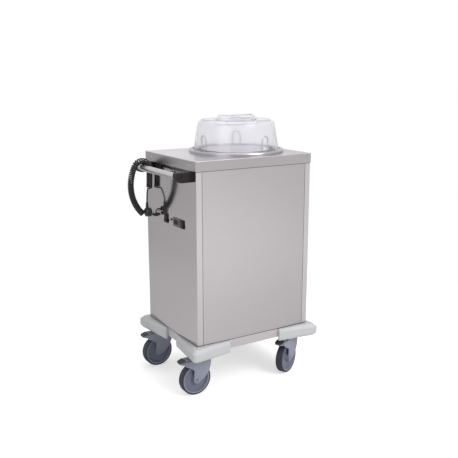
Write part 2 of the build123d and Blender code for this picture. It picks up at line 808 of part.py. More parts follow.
def make_dispenser_tube():
    """Sheet tube hung under the collar, slotted for the hangers, with a bottom plate."""
    slot_top = hook_top + end_gap
    slot_bottom = hook_top - hanger_sheet - platform_travel - 2 * hanger_sheet
    with BuildPart() as dispenser_tube:
        with Locations((tube_x, 0, tube_bottom)):
            Cylinder(
                tube_outer_radius,
                deck_top - tube_bottom,
                align=(Align.CENTER, Align.CENTER, Align.MIN),
            )
        with Locations((tube_x, 0, tube_bottom + tube_base_sheet)):
            Cylinder(
                tube_inner_radius,
                deck_top - tube_bottom,
                align=(Align.CENTER, Align.CENTER, Align.MIN),
                mode=Mode.SUBTRACT,
            )
        with Locations((tube_x, 0, tube_bottom)):
            Cylinder(tube_vent_radius, 4 * tube_base_sheet, mode=Mode.SUBTRACT)
        for angle in hanger_angles:
            with Locations(Location((tube_x, 0, slot_bottom), (0, 0, angle))):
                with Locations((tube_inner_radius, 0, 0)):
                    Box(
                        20,
                        tube_slot_width,
                        slot_top - slot_bottom,
                        align=(Align.CENTER, Align.CENTER, Align.MIN),
                        mode=Mode.SUBTRACT,
                    )
        stud_slot = guide_travel + 2 * (guide_stud_radius + end_gap)
        with BuildSketch(Plane.XY.offset(tube_bottom)):
            for angle in guide_angles:
                middle = guide_circle - guide_travel / 2
                place = (tube_x + middle * cos(radians(angle)), middle * sin(radians(angle)))
                with Locations(Location(place, angle)):
                    SlotOverall(stud_slot, 2 * (guide_stud_radius + end_gap))
        extrude(amount=tube_base_sheet, mode=Mode.SUBTRACT)
    save(dispenser_tube, "dispenser_tube")


def make_plate_platform():
    """Round platform with a turned-down rim, and three hangers that reach out to the springs."""
    under = platform_top - platform_sheet
    hook_reach = spring_circle + spring_radius - hanger_radius
    with BuildPart() as plate_platform:
        with Locations((tube_x, 0, platform_top)):
            Cylinder(platform_radius, platform_rim, align=(Align.CENTER, Align.CENTER, Align.MAX))
        fillet(plate_platform.faces().sort_by(Axis.Z)[-1].edges(), platform_sheet)
        with Locations((tube_x, 0, under)):
            Cylinder(
                platform_radius - platform_sheet,
                platform_rim,
                align=(Align.CENTER, Align.CENTER, Align.MAX),
                mode=Mode.SUBTRACT,
            )
        for angle in hanger_angles:
            with Locations(Location((tube_x, 0, 0), (0, 0, angle))):
                arm_inner = platform_radius - hanger_arm
                arm_outer = hanger_radius + hanger_sheet / 2
                with Locations(((arm_inner + arm_outer) / 2, 0, under - platform_rim + platform_sheet)):
                    Box(
                        arm_outer - arm_inner,
                        hanger_width,
                        hanger_sheet,
                        align=(Align.CENTER, Align.CENTER, Align.MAX),
                    )
                with Locations((arm_inner + hanger_foot / 2, 0, under)):
                    Box(
                        hanger_foot,
                        hanger_width,
                        platform_rim - platform_sheet + hanger_sheet,
                        align=(Align.CENTER, Align.CENTER, Align.MAX),
                    )
                strip_top = under - platform_rim + platform_sheet
                with Locations((hanger_radius, 0, strip_top)):
                    Box(
                        hanger_sheet,
                        hanger_width,
                        strip_top - hook_top + hanger_sheet,
                        align=(Align.CENTER, Align.CENTER, Align.MAX),
                    )
                with Locations((hanger_radius + hook_reach / 2, 0, hook_top)):
                    Box(
                        hook_reach,
                        hanger_width,
                        hanger_sheet,
                        align=(Align.CENTER, Align.CENTER, Align.MAX),
                    )
    save(plate_platform, "plate_platform")


def make_lift_springs():
    """Three long extension springs from the collar's underside to the hangers, as plain tubes."""
    spring_top = deck_top - end_gap
    with BuildPart() as lift_springs:
        for angle in hanger_angles:
            place = (tube_x + spring_circle * cos(radians(angle)), spring_circle * sin(radians(angle)))
            with BuildSketch(Plane.XY.offset(hook_top)):
                with Locations(place):
                    Circle(spring_radius)
                    Circle(spring_radius - spring_wire, mode=Mode.SUBTRACT)
            extrude(amount=spring_top - hook_top)
    save(lift_springs, "lift_springs")


def make_plate_guide(angle, label):
    """Hairpin of wire with a foot that slides in the tube's bottom plate and a tab near the collar."""
    out = Vector(cos(radians(angle)), sin(radians(angle)), 0)
    along = Vector(-sin(radians(angle)), cos(radians(angle)), 0)
    foot_bottom = tube_bottom + tube_base_sheet + end_gap
    bend_z = guide_top - guide_wire_radius - guide_half_width
    hairpin = Plane(origin=Vector(tube_x, 0, 0) + out * guide_circle, x_dir=along, z_dir=out)
    with BuildPart() as guide:
        with BuildLine(hairpin) as wire_line:
            Line((-guide_half_width, foot_bottom + 1), (-guide_half_width, bend_z))
            ThreePointArc(
                (-guide_half_width, bend_z),
                (0, bend_z + guide_half_width),
                (guide_half_width, bend_z),
            )
            Line((guide_half_width, bend_z), (guide_half_width, foot_bottom + 1))
        with BuildSketch(Plane(origin=wire_line.wire() @ 0, z_dir=wire_line.wire() % 0)):
            Circle(guide_wire_radius)
        sweep(path=wire_line.wire())
        with Locations(Location((tube_x, 0, foot_bottom), (0, 0, angle))):
            with Locations((guide_circle, 0, 0)):
                Box(
                    guide_foot_width,
                    guide_foot_length,
                    guide_foot_height,
                    align=(Align.CENTER, Align.CENTER, Align.MIN),
                )
                Cylinder(
                    guide_stud_radius,
                    end_gap + tube_base_sheet + 4,
                    align=(Align.CENTER, Align.CENTER, Align.MAX),
                )
            tab_outer = ((collar_inner_radius - end_gap) ** 2 - guide_half_width**2) ** 0.5
            tab_reach = tab_outer - guide_circle
            tab_z = deck_top - guide_tab_drop - guide_tab_height - foot_bottom
            with Locations((guide_circle + tab_reach / 2, 0, tab_z)):
                Box(
                    tab_reach,
                    2 * guide_half_width,
                    guide_tab_height,
                    align=(Align.CENTER, Align.CENTER, Align.MIN),
                )
    save(guide, label)


def make_heater_element():
    """Ring-shaped heating element on three legs that stand on the tray."""
    tray_top = cabinet_bottom + seam
    with BuildPart() as heater_element:
        with Locations((tube_x, 0, tray_top + heater_lift)):
            Torus(heater_circle, heater_tube_radius)
        with Locations((tube_x, 0, tray_top)):
            with PolarLocations(heater_circle, 3):
                Cylinder(heater_leg_radius, heater_lift, align=(Align.CENTER, Align.CENTER, Align.MIN))
    save(heater_element, "heater_element")


# ---------------------------------------------------------------- dome
def dome_body(inset):
    """Dome outline drawn in by inset on every side: drum, shoulder, grip ridge and finger wells."""
    base = deck_top + collar_ledge_height + end_gap
    section = [
        (0, base),
        (dome_base_radius - inset, base),
        (dome_shoulder_radius - inset, base + dome_shoulder_height - inset / 2),
        (dome_top_radius - inset / 2, base + dome_top_height - inset),
        (0, base + dome_top_height - inset),
    ]
    with BuildPart() as body:
        with BuildSketch(side_plane(0)) as outline:
            with BuildLine():
                Polyline(*[(tube_x + radius, z) for radius, z in section], close=True)
            make_face()
            shoulder = outline.vertices().group_by(Axis.Y)[1].sort_by(Axis.X)[-1]
            fillet(shoulder, 12)
        revolve(axis=Axis((tube_x, 0, 0), (0, 0, 1)))
        top = base + dome_top_height
        with BuildSketch(Plane.XY.offset(top - 6 - inset)):
            with Locations((tube_x, 0)):
                RectangleRounded(
                    ridge_length - 2 * inset,
                    ridge_width - 2 * inset,
                    ridge_width / 3 - inset,
                )
        with BuildSketch(Plane.XY.offset(top + ridge_height - inset)):
            with Locations((tube_x, 0)):
                RectangleRounded(
                    ridge_top_length - 2 * inset,
                    ridge_top_width - 2 * inset,
                    ridge_top_width / 3 - inset,
                )
        loft()
        for side in (-1, 1):
            well_y = side * (ridge_width + well_width) / 2
            with BuildSketch(Plane.XY.offset(top + 1)):
                with Locations((tube_x, well_y)):
                    RectangleRounded(
                        well_length + 2 * inset,
                        well_width + 2 * inset,
                        well_width / 2 - 1,
                    )
            with BuildSketch(Plane.XY.offset(top - well_depth - inset)):
                with Locations((tube_x, well_y)):
                    RectangleRounded(
                        well_length - 2 * well_draft + 2 * inset,
                        well_width - 2 * well_draft + 2 * inset,
                        well_width / 2 - well_draft - 1,
                    )
            loft(mode=Mode.SUBTRACT)
    return body.part


def make_dome():
    """Clear moulded cover that stands on the collar's ledge inside its rim."""
    base = deck_top + collar_ledge_height + end_gap
    with BuildPart() as dome:
        add(dome_body(0))
        with Locations((tube_x, 0, base)):
            Cylinder(dome_flange_radius, dome_flange_height, align=(Align.CENTER, Align.CENTER, Align.MIN))
        add(dome_body(dome_wall), mode=Mode.SUBTRACT)
    save(dome, "dome")


# ---------------------------------------------------------------- handle
def make_handle_bar():
    """Round tube across the narrow end, its ends held in the brackets' sockets."""
    length = 2 * (bracket_inner_y + bracket_socket - end_gap)
    with BuildPart() as handle_bar:
        with BuildSketch(side_plane(length / 2)):
            with Locations((bar_x, handle_z)):
                Circle(bar_radius)
                Circle(bar_radius - bar_wall, mode=Mode.SUBTRACT)
        extrude(amount=length)
    save(handle_bar, "handle_bar")


def make_handle_bracket(side, label):
    """Black block from the narrow end to the bar, rounded at its outer corners."""
    outer_x = handle_face_x - handle_out
    with BuildPart() as bracket:
        far_y = side * (bracket_inner_y + bracket_width / 2) + bracket_width / 2
        with BuildSketch(side_plane(far_y)) as outline:
            with Locations(((outer_x + handle_face_x) / 2, bracket_middle_z())):
                Rectangle(handle_out, bracket_above + bracket_below)
            outer_points = outline.vertices().group_by(Axis.X)[0].sort_by(Axis.Y)
            fillet(outer_points[0], bracket_low_radius)
            fillet(outline.vertices().group_by(Axis.Y)[-1].sort_by(Axis.X)[0], bracket_high_radius)
        extrude(amount=bracket_width)
        inner_y = side * bracket_inner_y
        with BuildSketch(side_plane(inner_y)):
            with Locations((bar_x, handle_z)):
                Circle(bar_radius + bracket_socket_gap)
        extrude(amount=-side * bracket_socket, mode=Mode.SUBTRACT)
        with BuildSketch(side_plane(inner_y + side * bracket_width)):
            with Locations((bar_x, handle_z)):
                Circle(bracket_dimple_radius)
        extrude(amount=side * bracket_dimple_depth, mode=Mode.SUBTRACT)
        with BuildSketch(face_plane(handle_face_x)):
            with Locations(*[place for place in bracket_screw_places() if place[0] * side > 0]):
                Circle(bracket_screw_radius + running_gap)
        extrude(amount=-bracket_screw_length, mode=Mode.SUBTRACT)
    save(bracket, label)


def make_handle_screws():
    """Four screws from inside the end shell into the brackets."""
    head_height = 3.0
    with BuildPart() as handle_screws:
        with BuildSketch(face_plane(handle_face_x + sheet)):
            with Locations(*bracket_screw_places()):
                Circle(screw_head_radius + 1)
        extrude(amount=head_height)
        with BuildSketch(face_plane(handle_face_x + sheet)):
            with Locations(*bracket_screw_places()):
                Circle(bracket_screw_radius)
        extrude(amount=-(bracket_screw_length + sheet - 1))
    save(handle_screws, "handle_screws")


# ---------------------------------------------------------------- controls
def display_place():
    """(y, z) of the display's middle."""
    return (controller_place[0] + display_shift, controller_place[1])


def button_place(step):
    """(y, z) of the upper (+1) or lower (-1) button."""
    return (controller_place[0] + button_shift, controller_place[1] + step * button_spacing / 2)


def make_controller():
    """Bezel on the panel with its case behind, a pocket for the display and two button holes."""
    case_size = [size - 2 * controller_step for size in controller_size]
    with BuildPart() as controller_housing:
        with BuildSketch(face_plane(handle_face_x)) as bezel:
            with Locations(controller_place):
                RectangleRounded(*controller_size, 2)
        extrude(amount=-controller_bezel)
        with BuildSketch(face_plane(handle_face_x)):
            with Locations(controller_place):
                Rectangle(*case_size)
        extrude(amount=controller_depth)
        with BuildSketch(face_plane(handle_face_x - controller_bezel)):
            with Locations(display_place()):
                Rectangle(display_size[0] + hole_gap, display_size[1] + hole_gap)
        extrude(amount=display_sheet, mode=Mode.SUBTRACT)
        with BuildSketch(face_plane(handle_face_x - controller_bezel)):
            with Locations(button_place(1), button_place(-1)):
                Rectangle(button_size[0] + 2 * end_gap, button_size[1] + 2 * end_gap)
        extrude(amount=button_length - button_proud + button_travel + end_gap, mode=Mode.SUBTRACT)
    save(controller_housing, "controller_housing")
    with BuildPart() as controller_display:
        with BuildSketch(face_plane(handle_face_x - controller_bezel)):
            with Locations(display_place()):
                Rectangle(*display_size)
        extrude(amount=display_sheet)
    save(controller_display, "controller_display")
    for step, label in ((1, "button_up"), (-1, "button_down")):
        with BuildPart() as button:
            with BuildSketch(face_plane(handle_face_x - controller_bezel - button_proud)):
                with Locations(button_place(step)):
                    Rectangle(*button_size)
            extrude(amount=button_length)
        save(button, label)


def switch_opening(size):
    """Inner opening of a switch frame."""
    return (size[0] - switch_rim - 2 * switch_wall, size[1] - switch_rim - 2 * switch_wall)


def rocker_axis_x():
    """Where the rockers' pins lie, out from the narrow end."""
    return handle_face_x - switch_bezel + rocker_thick - rocker_proud


def make_switch_frames():
    """Two snap-in frames, each a box open at the front with bores for the rocker's pins."""
    with BuildPart() as switch_frames:
        for place, size in ((main_switch_place, main_switch_size), (heat_switch_place, heat_switch_size)):
            opening = switch_opening(size)
            with BuildSketch(face_plane(handle_face_x)):
                with Locations(place):
                    RectangleRounded(*size, 1.5)
            extrude(amount=-switch_bezel)
            with BuildSketch(face_plane(handle_face_x)):
                with Locations(place):
                    Rectangle(size[0] - switch_rim, size[1] - switch_rim)
            extrude(amount=switch_depth)
            with BuildSketch(face_plane(handle_face_x - switch_bezel)):
                with Locations(place):
                    Rectangle(*opening)
            extrude(amount=switch_bezel + switch_depth - switch_wall, mode=Mode.SUBTRACT)
            pin_span = opening[0] + 2 * (switch_wall - 1)
            with BuildSketch(Plane.XZ.offset(-(place[0] + pin_span / 2))):
                with Locations((rocker_axis_x(), place[1])):
                    Circle(rocker_pin_radius + running_gap)
            extrude(amount=pin_span, mode=Mode.SUBTRACT)
    save(switch_frames, "switch_frames")


def make_rocker(place, size, label):
    """Tipping key with a pin at each side, drawn with its upper half pressed in."""
    opening = switch_opening(size)
    width = opening[0] - 2 * end_gap
    half = opening[1] / 2 - 1.2
    axis_x = rocker_axis_x()
    with BuildPart() as rocker:
        with BuildSketch(Plane.XZ.offset(-(place[0] + width / 2))):
            with BuildLine():
                Polyline(
                    (axis_x - rocker_thick, place[1] + half),
                    (axis_x - rocker_thick + 1.6, place[1]),
                    (axis_x - rocker_thick, place[1] - half),
                    (axis_x, place[1] - half),
                    (axis_x + rocker_thick / 2, place[1]),
                    (axis_x, place[1] + half),
                    close=True,
                )
            make_face()
        extrude(amount=width)
        pin_length = opening[0] + 2 * (switch_wall - 1) - end_gap
        with BuildSketch(Plane.XZ.offset(-(place[0] + pin_length / 2))):
            with Locations((axis_x, place[1])):
                Circle(rocker_pin_radius)
        extrude(amount=pin_length)
    with BuildPart() as tipped:
        add(rocker.part.rotate(Axis((axis_x, 0, place[1]), (0, 1, 0)), rocker_tilt))
    save(tipped, label)


def make_pilot_lamp():
    """Round lens with its body through the panel."""
    with BuildPart() as pilot_lamp:
        with BuildSketch(face_plane(handle_face_x)):
            with Locations(lamp_place):
                Circle(lamp_radius)
        extrude(amount=-lamp_proud)
        fillet(pilot_lamp.faces().sort_by(Axis.X)[0].edges(), lamp_proud / 2)
        with BuildSketch(face_plane(handle_face_x)):
            with Locations(lamp_place):
                Circle(lamp_body_radius)
        extrude(amount=lamp_depth)
    save(pilot_lamp, "pilot_lamp")


# ---------------------------------------------------------------- supply cord
def gland_mouth():
    """Where the cable leaves the gland, pointing along +Y."""
    return Vector(handle_face_x - gland_standoff, gland_place[0] + gland_reach, gland_place[1])


def make_cable_gland():
    """Elbow with a tapered bend relief that turns the cable sideways, its shank through the panel."""
    elbow_x = handle_face_x - gland_standoff
    with BuildPart() as cable_gland:
        with BuildSketch(face_plane(handle_face_x)):
            with Locations(gland_place):
                Circle(gland_flange_radius)
        extrude(amount=-gland_flange_height)
        with BuildSketch(face_plane(handle_face_x)):
            with Locations(gland_place):
                Circle(gland_radius)
        extrude(amount=-gland_standoff)
        with Locations((elbow_x, *gland_place)):
            Sphere(gland_radius)
        with BuildSketch(Plane.XZ.offset(-gland_place[0])):
            with Locations((elbow_x, gland_place[1])):
                Circle(gland_radius)
        with BuildSketch(Plane.XZ.offset(-gland_place[0] - gland_reach)):
            with Locations((elbow_x, gland_place[1])):
                Circle(gland_mouth_radius)
        loft()
        with BuildSketch(face_plane(handle_face_x)):
            with Locations(gland_place):
                Circle(gland_thread_radius)
        extrude(amount=gland_thread_length)
    save(cable_gland, "cable_gland")


class CoilLine:
    """Middle line of the curly part: a long bow, a bend over the bar and a straight drop, all in
    one leaning plane, followed from the lower outer end to the lower inner end."""

    def __init__(self):
        lean_scale = (1 + coil_lean**2) ** 0.5
        self.u = Vector(1, 0, 0)
        self.v = Vector(0, -coil_lean / lean_scale, 1 / lean_scale)
        self.b = self.u.cross(self.v)
        crown = Vector(bar_x, coil_y, handle_z + bar_radius + coil_rest_gap + coil_radius)
        self.bend_middle = crown - self.v * coil_over_bar
        self.bow = radians(coil_outer_start + coil_outer_end) * coil_outer_bow
        self.bend = radians(180 - coil_outer_end) * coil_over_bar
        self.length = self.bow + self.bend + coil_inner_drop

    def at(self, s):
        """Point, forward direction and outward direction at length s."""
        top_angle = radians(90 - coil_outer_end)
        over_bar = s - self.bow
        if over_bar < 0:
            heading = top_angle - over_bar / coil_outer_bow
            join = self.bend_middle + self.outward(top_angle) * coil_over_bar
            middle = join - self.outward(top_angle) * coil_outer_bow
            point = middle + self.outward(heading) * coil_outer_bow
        else:
            heading = max(top_angle - over_bar / coil_over_bar, -pi / 2)
            drop = max(over_bar - self.bend, 0)
            point = self.bend_middle + self.outward(heading) * coil_over_bar + self.forward(heading) * drop
        return point, self.forward(heading), self.outward(heading)

    def forward(self, heading):
        return self.u * cos(heading) + self.v * sin(heading)

    def outward(self, heading):
        return self.u * -sin(heading) + self.v * cos(heading)

    def pitch(self, s):
        """Relative pitch: wider over the bar, blended in and out."""
        inside = min(s - self.bow, self.bow + self.bend - s) / coil_blend + 0.5
        step = max(0.0, min(1.0, inside))
        return 1 + (coil_pitch_bent - 1) * step * step * (3 - 2 * step)


def coil_points():
    """Points and directions of the curly cable's middle, one at each half turn."""
    line = CoilLine()
    wind_radius = coil_radius - cable_radius
    fine = 4000
    ds = line.length / fine
    wound = [0.0]
    for i in range(fine):
        wound.append(wound[-1] + ds / line.pitch((i + 0.5) * ds))
    turn_rate = coil_turns * 2 * pi / wound[-1]

    def place(s):
        i = min(int(s / ds), fine - 1)
        share = s / ds - i
        angle = (wound[i] * (1 - share) + wound[i + 1] * share) * turn_rate - pi / 2
        middle, _, outward = line.at(s)
        return middle + (outward * cos(angle) + line.b * sin(angle)) * wind_radius

    def length_at(angle):
        goal = angle / turn_rate
        i = next(k for k in range(fine) if wound[k + 1] >= goal - 1e-9)
        return (i + (goal - wound[i]) / (wound[i + 1] - wound[i])) * ds

    steps = round(coil_turns * 2)
    lengths = [length_at(pi * k) for k in range(steps + 1)]
    nudge = 0.01
    points = []
    for s in lengths:
        low = max(0.0, s - nudge)
        high = min(line.length, s + nudge)
        points.append((place(s), (place(high) - place(low)).normalized()))
    samples = [place(line.length * k / 3600) for k in range(3601)]
    return points, samples


def biarc_middle(start, leave, end, arrive):
    """Point where the two equal-reach arcs of a biarc meet, and the direction there."""
    span = end - start
    both = leave + arrive
    spread = 2 * (1 - leave.dot(arrive))
    reach = (-span.dot(both) + (span.dot(both) ** 2 + spread * span.dot(span)) ** 0.5) / spread
    before, after = start + leave * reach, end - arrive * reach
    return (before + after) * 0.5, (after - before).normalized()


def make_cord_coil():
    """One unbroken tube: a straight stub, the turns as biarcs of half a turn, a straight stub."""
    points, samples = coil_points()
    first, first_way = points[0]
    last, last_way = points[-1]
    with BuildPart() as cord_coil:
        with BuildLine() as cable_line:
            Line(first - first_way * coil_stub, first)
            for (start, leave), (end, arrive) in zip(points, points[1:]):
                joint, joint_way = biarc_middle(start, leave, end, arrive)
                TangentArc(start, joint, tangent=leave)
                TangentArc(joint, end, tangent=joint_way)
            Line(last, last + last_way * coil_stub)
        with BuildSketch(Plane(origin=first - first_way * coil_stub, z_dir=first_way)):
            Circle(cable_radius)
        sweep(path=cable_line.wire())
    report_cable("cord_coil", cord_coil.part.volume, cable_line.wire().length)
    print(f"cord_coil: {coil_turns} turns, least gap to itself {least_self_gap(samples):.2f} mm")
    save(cord_coil, "cord_coil")


def least_self_gap(samples):
    """Least clear gap between turns: nearest distance of points that lie half a turn or more apart."""
    step = (samples[1] - samples[0]).length
    skip = int(2.2 * (coil_radius - cable_radius) * pi / 2 / step)
    nearest = min(
        (samples[i] - samples[j]).length
        for i in range(0, len(samples), 3)
        for j in range(i + skip, min(i + 5 * skip, len(samples)), 2)
    )
    return nearest - 2 * cable_radius


def report_cable(label, volume, length):
    """Print a cable's solid volume against its section times its length."""
    ratio = volume / (pi * cable_radius**2 * length)
    print(f"{label}: {length:.1f} mm long, volume over section times length {ratio:.4f}")


def make_tail(points, label):
    """Straight runs joined by tangent arcs, one radius for each corner."""
    radii = []
    for before, corner, after in zip(points, points[1:], points[2:]):
        arriving, leaving = corner - before, after - corner
        half_turn = radians(arriving.get_angle(leaving)) / 2
        radii.append(0.45 * min(arriving.length, leaving.length) / tan(half_turn))
    with BuildPart() as tail:
        with BuildLine() as tail_line:
            FilletPolyline(*points, radius=radii)
        with BuildSketch(Plane(origin=points[0], z_dir=points[1] - points[0])):
            Circle(cable_radius)
        sweep(path=tail_line.wire())
    report_cable(label, tail.part.volume, tail_line.wire().length)
    print(label, "radii", [round(radius, 1) for radius in radii])
    save(tail, label)


def coil_ends():
    """Ends of the curly part's stubs with their directions: gland side first, then plug side."""
    points, _ = coil_points()
    first, first_way = points[0]
    last, last_way = points[-1]
    return (first - first_way * coil_stub, first_way), (last + last_way * coil_stub, last_way)


def plug_top():
    """Where the cable enters the plug's bend relief, pointing straight down."""
    return Vector(bar_x + plug_in, coil_y - plug_front, plug_height)


def make_tails():
    """Supply tail from the gland to the curly part, and plug tail from there to the plug."""
    (low_end, low_way), (high_end, high_way) = coil_ends()
    mouth = gland_mouth()
    supply_route = [
        mouth,
        mouth + Vector(0, 9, 0),
        mouth + Vector(-8, 18, 8),
        low_end - low_way * 14,
        low_end,
    ]
    make_tail(supply_route, "supply_tail")
    plug_route = [
        high_end,
        high_end + high_way * 15.5,
        plug_top() + Vector(0, 0, 27),
        plug_top(),
    ]
    make_tail(plug_route, "plug_tail")


def make_plug():
    """Angled plug: a bend relief on top, a round head turned to the cabinet, and two pins."""
    top = plug_top()
    head_z = top.Z - plug_relief_length - plug_head_radius
    back_x = top.X - plug_neck_radius - 1
    with BuildPart() as plug:
        with BuildSketch(Plane.XY.offset(top.Z)):
            with Locations((top.X, top.Y)):
                Circle(plug_relief_radius)
        with BuildSketch(Plane.XY.offset(top.Z - plug_relief_length)):
            with Locations((top.X, top.Y)):
                Circle(plug_neck_radius)
        loft()
        with BuildSketch(Plane.XY.offset(top.Z - plug_relief_length + 1)):
            with Locations((top.X, top.Y)):
                Circle(plug_neck_radius)
        extrude(amount=-plug_head_radius)
        with BuildSketch(face_plane(back_x)):
            with Locations((top.Y, head_z)):
                Circle(plug_head_radius)
        extrude(amount=plug_head_thick)
        fillet(plug.faces().sort_by(Axis.X)[0].edges(), 4)
    save(plug, "plug")
    with BuildPart() as plug_pins:
        with BuildSketch(face_plane(back_x + plug_head_thick)):
            spread = plug_pin_spacing / 2
            with Locations((top.Y + spread, head_z), (top.Y - spread, head_z)):
                Circle(plug_pin_radius)
        extrude(amount=plug_pin_length)
        fillet(plug_pins.faces().sort_by(Axis.X)[-2:].edges(), 1)
    save(plug_pins, "plug_pins")


# ---------------------------------------------------------------- build
make_base_frame()
for corner_name, (corner_x, corner_y, _) in corners.items():
    make_bumper(corner_name, corner_x, corner_y)
make_caster_heads()
make_casters()
make_floor_tray()
make_shells()
make_wide_panel(-1, "front_panel")
make_wide_panel(1, "rear_panel")
make_top_deck()
make_deck_screws()
make_collar_ring()
make_dispenser_tube()
make_plate_platform()
make_lift_springs()
for guide_angle, guide_side in zip(guide_angles, ("handle", "rear", "front")):
    make_plate_guide(guide_angle, f"plate_guide_{guide_side}")
make_heater_element()
make_dome()
make_handle_bar()
make_handle_bracket(-1, "handle_bracket_front")
make_handle_bracket(1, "handle_bracket_rear")
make_handle_screws()
make_controller()
make_switch_frames()
make_rocker(main_switch_place, main_switch_size, "main_rocker")
make_rocker(heat_switch_place, heat_switch_size, "heat_rocker")
make_pilot_lamp()
make_cable_gland()
make_cord_coil()
make_tails()
make_plug()
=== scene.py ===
"""Plate dispenser cart: camera, cord, finishes and light around the fixed model.

Metres, in the model's own frame: +Z up, the floor at z = 0, the handle end towards -X and the
wide front towards -Y.
"""
import json
from math import cos, pi, radians, sin

import bmesh
import bpy
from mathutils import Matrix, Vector


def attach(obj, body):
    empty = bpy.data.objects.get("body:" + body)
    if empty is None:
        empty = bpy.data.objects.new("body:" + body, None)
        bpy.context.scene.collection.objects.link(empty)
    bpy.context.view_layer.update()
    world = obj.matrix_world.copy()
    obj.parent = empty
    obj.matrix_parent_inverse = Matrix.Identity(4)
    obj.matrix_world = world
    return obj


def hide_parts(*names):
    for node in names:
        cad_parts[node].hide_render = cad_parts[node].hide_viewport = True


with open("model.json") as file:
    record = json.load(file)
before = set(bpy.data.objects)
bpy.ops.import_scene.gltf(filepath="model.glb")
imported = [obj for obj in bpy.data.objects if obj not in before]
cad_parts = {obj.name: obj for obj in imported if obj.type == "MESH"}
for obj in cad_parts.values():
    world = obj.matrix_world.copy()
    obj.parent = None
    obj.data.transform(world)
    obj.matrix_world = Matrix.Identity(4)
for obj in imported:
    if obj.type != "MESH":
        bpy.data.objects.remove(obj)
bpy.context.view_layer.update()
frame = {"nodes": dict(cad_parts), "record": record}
nodes = frame["nodes"]
joints = {joint["name"]: joint for joint in frame["record"]["behaviour"]["joints"]}
CORNERS = ("handle_front", "handle_rear", "far_front", "far_rear")

# ---------------------------------------------------------------- camera
CAMERA_AZIMUTH = -31.77
CAMERA_ELEVATION = 12.76
CAMERA_DISTANCE = 2.829
CAMERA_TARGET = Vector((0.0239, 0.0, 0.5866))
CAMERA_CLIP = (0.05, 60)
FRAME_PIXELS = 458
FOCAL_PIXELS = 698.2
SENSOR_WIDTH = 36.0


def make_camera():
    """Camera at the photograph's viewing angle."""
    azimuth, elevation = radians(CAMERA_AZIMUTH), radians(CAMERA_ELEVATION)
    level = cos(elevation)
    back = Vector((sin(azimuth) * level, -cos(azimuth) * level, sin(elevation)))
    data = bpy.data.cameras.new("camera")
    data.sensor_width = SENSOR_WIDTH
    data.lens = SENSOR_WIDTH * FOCAL_PIXELS / FRAME_PIXELS
    data.clip_start, data.clip_end = CAMERA_CLIP
    camera = bpy.data.objects.new("camera", data)
    bpy.context.scene.collection.objects.link(camera)
    camera.location = CAMERA_TARGET + back * CAMERA_DISTANCE
    camera.rotation_mode = "QUATERNION"
    camera.rotation_quaternion = (-back).to_track_quat("-Z", "Y")
    bpy.context.scene.camera = camera


make_camera()

# ---------------------------------------------------------------- supply cord
HANDLE_FACE_X = -0.2405       # outer face of the handle's end
BAR_STANDOFF = 0.051          # from that face to the middle of the bar
BAR_X = HANDLE_FACE_X - BAR_STANDOFF
BAR_Z = 0.844
BAR_RADIUS = 0.0125
CABLE_RADIUS = 0.00295
WIND_RADIUS = 0.00955         # middle of the cable, about the coil's middle line
COIL_RADIUS = WIND_RADIUS + CABLE_RADIUS
COIL_TURNS = 52.5             # judged: single turns are too fine to count
COIL_PITCH_BENT = 1.35        # pitch over the bar, as a share of the pitch elsewhere
COIL_BLEND = 0.014            # length over which the pitch changes
COIL_OVER_BAR = 0.0335        # radius of the bend over the bar
COIL_REST_GAP = 0.0005
COIL_OUTER_BOW = 0.170        # radius of the long bow outside the bar
COIL_OUTER_START = radians(46)
COIL_OUTER_END = radians(25)
COIL_INNER_DROP = 0.0755
COIL_LEAN = 0.09              # sideways per unit of height
COIL_Y = 0.135
COIL_STUB = 0.006             # straight cable at each end of the coil
COIL_STEPS = 4000             # steps in which the winding is added up
POINTS_PER_TURN = 12
GLAND_MOUTH = Vector((HANDLE_FACE_X - 0.010, 0.142, 0.655))
PLUG_TOP = Vector((BAR_X + 0.012, 0.123, 0.707))


class CoilLine:
    """Middle line of the curly part: a long bow, a bend over the bar and a straight drop, all in
    one leaning plane, followed from the lower outer end to the lower inner end."""

    def __init__(self):
        lean_scale = (1 + COIL_LEAN**2) ** 0.5
        self.u = Vector((1, 0, 0))
        self.v = Vector((0, -COIL_LEAN / lean_scale, 1 / lean_scale))
        self.b = self.u.cross(self.v)
        crown = Vector((BAR_X, COIL_Y, BAR_Z + BAR_RADIUS + COIL_REST_GAP + COIL_RADIUS))
        self.bend_middle = crown - self.v * COIL_OVER_BAR
        self.bow = (COIL_OUTER_START + COIL_OUTER_END) * COIL_OUTER_BOW
        self.bend = (pi - COIL_OUTER_END) * COIL_OVER_BAR
        self.length = self.bow + self.bend + COIL_INNER_DROP

    def at(self, s):
        """Point, forward direction and outward direction at length s."""
        top_angle = pi / 2 - COIL_OUTER_END
        over_bar = s - self.bow
        if over_bar < 0:
            heading = top_angle - over_bar / COIL_OUTER_BOW
            join = self.bend_middle + self.outward(top_angle) * COIL_OVER_BAR
            middle = join - self.outward(top_angle) * COIL_OUTER_BOW
            point = middle + self.outward(heading) * COIL_OUTER_BOW
        else:
            heading = max(top_angle - over_bar / COIL_OVER_BAR, -pi / 2)
            bend = self.bend_middle + self.outward(heading) * COIL_OVER_BAR
            point = bend + self.forward(heading) * max(over_bar - self.bend, 0)
        return point, self.forward(heading), self.outward(heading)

    def forward(self, heading):
        return self.u * cos(heading) + self.v * sin(heading)

    def outward(self, heading):
        return self.u * -sin(heading) + self.v * cos(heading)

    def pitch(self, s):
        """Relative pitch: wider over the bar, blended in and out."""
        inside = min(s - self.bow, self.bow + self.bend - s) / COIL_BLEND + 0.5
        step = max(0.0, min(1.0, inside))
        return 1 + (COIL_PITCH_BENT - 1) * step * step * (3 - 2 * step)


